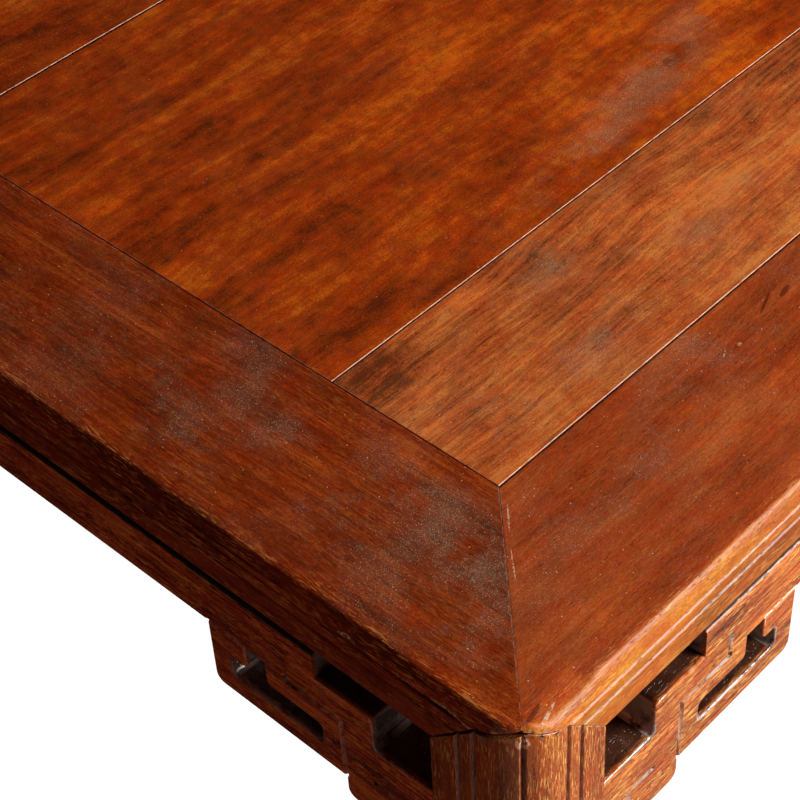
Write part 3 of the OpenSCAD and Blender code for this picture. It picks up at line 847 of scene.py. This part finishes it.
def post_maker():
    """Nodes that raise an outline to a height and leave its faces a little uneven."""
    group = bpy.data.node_groups.new("raise_post", "GeometryNodeTree")
    ports = {}
    for label, kind in (("Outline", "NodeSocketGeometry"), ("Height", "NodeSocketFloat"),
                        ("Rings", "NodeSocketInt"), ("Unevenness", "NodeSocketFloat"),
                        ("Seed", "NodeSocketFloat"), ("Wood", "NodeSocketMaterial")):
        ports[label] = group.interface.new_socket(
            name=label, in_out="INPUT", socket_type=kind).identifier
    group.interface.new_socket(name="Post", in_out="OUTPUT", socket_type="NodeSocketGeometry")

    post = Tree(group, "NodeGroupOutput")
    outline, height, rings, unevenness, seed, material = post.node(
        "NodeGroupInput", out=tuple(ports))
    outline = post.node("GeometryNodeMeshToCurve", inputs={"Mesh": outline})
    line = post.node("GeometryNodeCurvePrimitiveLine", inputs={
        "End": post.vector(0.0, 0.0, height)})
    line = post.node("GeometryNodeResampleCurve", inputs={"Curve": line, "Count": rings})
    body = post.node("GeometryNodeCurveToMesh", inputs={
        "Curve": line, "Profile Curve": outline, "Fill Caps": True})
    rough = post.node("ShaderNodeTexNoise", {"noise_dimensions": "4D"}, {
        "Vector": post.node("GeometryNodeInputPosition"), "W": seed, "Scale": 26.0,
        "Detail": 3.0})
    inward = post.vectors("MULTIPLY", post.node("GeometryNodeInputNormal"), (-1.0, -1.0, 0.0))
    shift = post.node("ShaderNodeVectorMath", {"operation": "SCALE"}, {
        0: inward, "Scale": rough * unevenness})
    body = post.node("GeometryNodeSetPosition", inputs={"Geometry": body, "Offset": shift})
    body = post.node("GeometryNodeRealizeInstances", inputs={"Geometry": body})
    post.end(post.node("GeometryNodeSetMaterial", inputs={
        "Geometry": body, "Material": material}))
    return group, ports


def raised_post(name, maker, ports, seed, material):
    """A leg's outline, raised to a whole post by the nodes."""
    outline = leg_outline()
    mesh = bpy.data.meshes.new(name)
    mesh.from_pydata([(x, y, 0.0) for x, y in outline],
                     [(k, (k + 1) % len(outline)) for k in range(len(outline))], [])
    leg = bpy.data.objects.new(name, mesh)
    bpy.context.collection.objects.link(leg)
    raising = leg.modifiers.new("raise", "NODES")
    raising.node_group = maker
    for label, value in (("Height", LEG_TOP), ("Rings", LEG_RINGS),
                         ("Unevenness", LEG_UNEVEN), ("Seed", seed), ("Wood", material)):
        raising[ports[label]] = value
    return settle(leg)


def draw_in(leg):
    """Draw a post in along the lip's curve, from the lip's lower edge up."""
    bm = bmesh.new()
    bm.from_mesh(leg.data)
    for rise in LIP_RINGS:
        bmesh.ops.bisect_plane(
            bm, geom=bm.verts[:] + bm.edges[:] + bm.faces[:],
            plane_co=(0, 0, LIP_Z + rise * MM), plane_no=(0, 0, 1))
    for vertex in bm.verts:
        x, y, z = vertex.co
        if z <= LIP_Z:
            continue
        inset = lip_depth(z)
        if x < CORNER_R and y < CORNER_R:
            arm = Vector((x - CORNER_R, y - CORNER_R))
            if arm.length > CORNER_R - inset:
                arm.length = CORNER_R - inset
                vertex.co.x, vertex.co.y = CORNER_R + arm.x, CORNER_R + arm.y
        else:
            vertex.co.x, vertex.co.y = max(x, inset), max(y, inset)
    bmesh.ops.recalc_face_normals(bm, faces=bm.faces)
    bm.to_mesh(leg.data)
    bm.free()


def cut_mitres(leg):
    """Cut a post's head to the mitres that meet both members of the frame."""
    spare = 10 * MM
    waste = ((LEG_W, -spare), (LEG_W + spare, -spare), (LEG_W + spare, FRAME_T + spare),
             (-spare, FRAME_T + spare), (-spare, LEG_TIP), (TIP_IN, LEG_TIP),
             (LEG_W - MITRE_RISE, MITRE_RISE), (LEG_W, 0.0))
    for turned, gap in enumerate(MITRE_GAPS):

        def place(u, v, w):
            height = UNDER_Z - gap + v
            return (w, u, height) if turned else (u, w, height)
        carve(leg, prism("waste", waste, place, -spare, LEG_W + spare))


wood = Wood("leg_wood", "z", (60.0, 20.0, 700.0), LEG_TONES, streaks=0.8, polish=0.24)
wood.paint_glint_flecks(0.6, GLINT_FLECK)
wood.wear_edges()
wood.whiten_edges(0.5)
wood.fill_hollows(wax=0.3)
wood.break_out((((-493, -493, 822), (4, 4, 4.5), 0),))
leg_finish = wood.finished()
maker, ports = post_maker()
for index, corner in enumerate(CORNERS):
    leg = raised_post("corner_leg_" + corner, maker, ports, 5.0 + index, leg_finish)
    draw_in(leg)
    cut_mitres(leg)
    leg.data.transform(side_turn(index))
    ease_edges(leg, LEG_ARRIS)
    dress(leg, leg_finish, "leg_" + corner)

# The apron: a rail under each side of the frame, its upper front edge rounded below a shadow
# gap painted dark, and at each end an openwork bracket with a foot piece, all with softened
# arrises.
RAIL_ARRIS = 1.0 * MM
FRET_ARRIS = 1.2 * MM
APRON_TONES = ((0.10, 0.014, 0.003), (0.35, 0.065, 0.009), (0.62, 0.17, 0.028))
# The left side's own tones, a redder copy of the apron's, are painted shade for the side that
# the key lamp does not reach; its bright grain dashes are painted glints.
LEFT_SHADE_TONES = ((0.11, 0.008, 0.001), (0.40, 0.040, 0.004), (0.80, 0.18, 0.03))
LEFT_GLINT_FLECK = (0.95, 0.34, 0.06)
APRON_FILM = (0.29, 0.125, 0.072)
# The rails' top in millimetres, as a finish counts, and the colours of the openings: dark
# lacquer that is also painted shade, painted shadow in the gap and painted glints.
SHADOW_GAP = 3.8
RAIL_TOP = UNDER_Z / MM - SHADOW_GAP
LACQUER_AND_SHADE = (0.026, 0.008, 0.006)
THIN_LACQUER = (0.11, 0.07, 0.055)
GAP_SHADOW = (0.008, 0.005, 0.003)
PAINTED_GLINT_TONE = (0.86, 0.80, 0.72)


class OpenworkWood(Wood):
    """Wood sawn to an openwork outline, with old lacquer and painted shade on the sawn walls,
    and painted glints.
    """

    def lacquer_and_shade_openings(self, gap_from, glint_share=0.3):
        """Dark lacquer and painted shade behind the face, lighter and glossy on its walls,
        painted shadow in the gap on top, and pale metallic painted glints on the walls.
        """
        deep = (self.depth + (self.patchy - 0.5) * 2.0).between(1.6, 4.2)
        wall = (1.0 - self.level.between(0.1, 0.7)) * self.patchy.between(0.3, 0.65)
        # Dark lacquer, which also stands for painted shade in the openings.
        self.coat(deep * 0.96, self.mix(wall, LACQUER_AND_SHADE, THIN_LACQUER))
        # Painted shadow in the gap under the frame.
        gap = (self.height + (self.patchy - 0.5) * 1.5).between(gap_from, gap_from + 0.8)
        self.coat(gap, GAP_SHADOW)
        self.roughness = self.roughness - deep * 0.12 + gap * 0.4
        # Painted glints: pale metallic patches on the walls that mirror the lamps.
        self.painted_glint = (deep * (1.0 - gap) * (1.0 - self.level.between(0.25, 0.9))
                       * self.speckle(11.0, 4.0, 0.6).between(0.34, 0.54) * glint_share)
        self.coat(self.painted_glint, PAINTED_GLINT_TONE)


TREES = {}
for name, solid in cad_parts.items():
    bm = bmesh.new()
    bm.from_mesh(solid.data)
    TREES[name] = BVHTree.FromBMesh(bm)
    bm.free()


def round_contour(piece, node, depth_axis, width):
    """Round the free edges between a piece's outer or inner face and its sawn contour."""
    others = [tree for name, tree in TREES.items() if name != node]
    bm = bmesh.new()
    bm.from_mesh(piece.data)
    weights = bm.edges.layers.float.new("bevel_weight_edge")
    for edge in bm.edges:
        if len(edge.link_faces) != 2 or edge.calc_face_angle_signed(0.0) < math.radians(60.0):
            continue
        across, flat = sorted(abs(face.normal[depth_axis]) for face in edge.link_faces)
        middle = (edge.verts[0].co + edge.verts[1].co) / 2
        free = all(tree.find_nearest(middle, 0.1 * MM)[0] is None for tree in others)
        small = min(face.calc_area() for face in edge.link_faces) < 5 * MM * MM
        if across < 0.05 and flat > 0.99 and free and not small:
            edge[weights] = 1.0
    bm.to_mesh(piece.data)
    bm.free()
    round_marked(piece, width, segments=3)


for index, side in enumerate(SIDES):
    left = side == "left"
    grain, offset = "xy"[index % 2], (210.0 * index, 50.0, 130.0)
    depth_axis = 1 - index % 2
    # On the left: tones that are painted shade, and painted glints in the grain.
    tones, glint_tone = (LEFT_SHADE_TONES, LEFT_GLINT_FLECK) if left else (APRON_TONES, GLINT_FLECK)

    wood = OpenworkWood(
        "apron_wood_" + side, grain, offset, tones, streaks=1.7, polish=0.28)
    wood.paint_glint_flecks(0.9, glint_tone)
    wood.wear_edges()
    # On the left the painted gap shadow starts lower, over the rail's rounding.
    wood.lacquer_and_shade_openings(gap_from=RAIL_TOP - (2.0 if left else 1.0))
    # The wax crust, which also paints highlights, is thinner on the left.
    wood.fill_hollows(wax=0.3 if left else 0.9)
    wood.dust(0.2, APRON_FILM)
    rail = cad_copy("apron_" + side, "rail_" + side)
    round_contour(rail, "apron_" + side, depth_axis, RAIL_ARRIS)
    dress(rail, wood.finished(), "apron_" + side)

    wood = OpenworkWood(
        "fret_wood_" + side, grain, offset, tones, streaks=1.7, polish=0.26)
    wood.paint_glint_flecks(0.9, glint_tone)
    wood.wear_edges()
    wood.whiten_edges(0.25)
    # The left side gets more painted glints, and less of the wax crust that also paints
    # highlights.
    wood.lacquer_and_shade_openings(gap_from=RAIL_TOP - 1.0, glint_share=0.9 if left else 0.3)
    wood.fill_hollows(wax=0.4 if left else 0.9)
    wood.dust(0.35, APRON_FILM)
    wood.speck(0.8)
    fret_finish = wood.finished(gloss=0.6)
    for end in (1, 2):
        for kind in ("bracket", "foot"):
            node = "%s_%s_%d" % (kind, side, end)
            fret = cad_copy(node, "fret_" + node)
            round_contour(fret, node, depth_axis, FRET_ARRIS)
            dress(fret, fret_finish, node, fillets=True)

# The studio: a pale floor and a white surround that only the camera sees at full white, a
# soft lamp in front on the right, a warm weak one on the left and a low one behind.
WHITE = (1.0, 1.0, 1.0)
PAPER = (0.3, 0.3, 0.3)
MIRRORED_NEAR = (0.2, 0.19, 0.18)
MIRRORED_FAR = (0.03, 0.02, 0.02)
floor_finish = new_material("pale_floor")
paper = Tree(floor_finish.node_tree)
seen = paper.node("ShaderNodeLightPath", out="Is Camera Ray")
inwards = paper.part(paper.node("ShaderNodeTexCoord", out="Object"), 1).between(-0.9, -0.2)
mirrored = paper.node("ShaderNodeBsdfDiffuse", inputs={
    "Color": paper.mix(inwards, MIRRORED_NEAR, MIRRORED_FAR)})
lit = paper.node("ShaderNodeAddShader", inputs={
    0: paper.node("ShaderNodeBsdfDiffuse", inputs={"Color": PAPER}),
    1: paper.node("ShaderNodeEmission", inputs={"Color": WHITE, "Strength": 0.9})})
paper.end(paper.node("ShaderNodeMixShader", inputs={0: seen, 1: mirrored, 2: lit}))
bm = bmesh.new()
bmesh.ops.create_grid(bm, x_segments=1, y_segments=1, size=6.0)
floor = new_piece("floor", bm, outwards=False)
floor.data.materials.append(floor_finish)

world = bpy.data.worlds.new("surround")
world.use_nodes = True
bpy.context.scene.world = world
surround = Tree(world.node_tree, "ShaderNodeOutputWorld")
surround.end(surround.node("ShaderNodeMixShader", inputs={
    0: surround.node("ShaderNodeLightPath", out="Is Camera Ray"),
    1: surround.node("ShaderNodeBackground", inputs={"Color": WHITE, "Strength": 0.014}),
    2: surround.node("ShaderNodeBackground", inputs={"Color": WHITE, "Strength": 1.0})}))


def soft_lamp(name, place, aim, size, power, colour=WHITE):
    """A rectangular lamp at a place, turned to what it aims at."""
    lamp = bpy.data.lights.new(name, "AREA")
    lamp.shape = "RECTANGLE"
    lamp.size, lamp.size_y = size
    lamp.energy = power
    lamp.color = colour
    holder = bpy.data.objects.new(name, lamp)
    bpy.context.collection.objects.link(holder)
    holder.location = place
    holder.rotation_euler = (Vector(aim) - Vector(place)).to_track_quat("-Z", "Y").to_euler()


soft_lamp("key_lamp", (0.76, -2.32, 1.66), (-0.4, -0.4, 0.78), (1.1, 1.0), 114.0)
soft_lamp("left_lamp", (-2.6, -1.1, 0.8), (-0.4, -0.3, 0.75), (1.8, 1.2), 6.0, (1.0, 0.57, 0.5))
soft_lamp("back_lamp", (2.3, 1.9, 0.42), (0.1, 0.1, 0.6), (1.6, 0.7), 12.0)
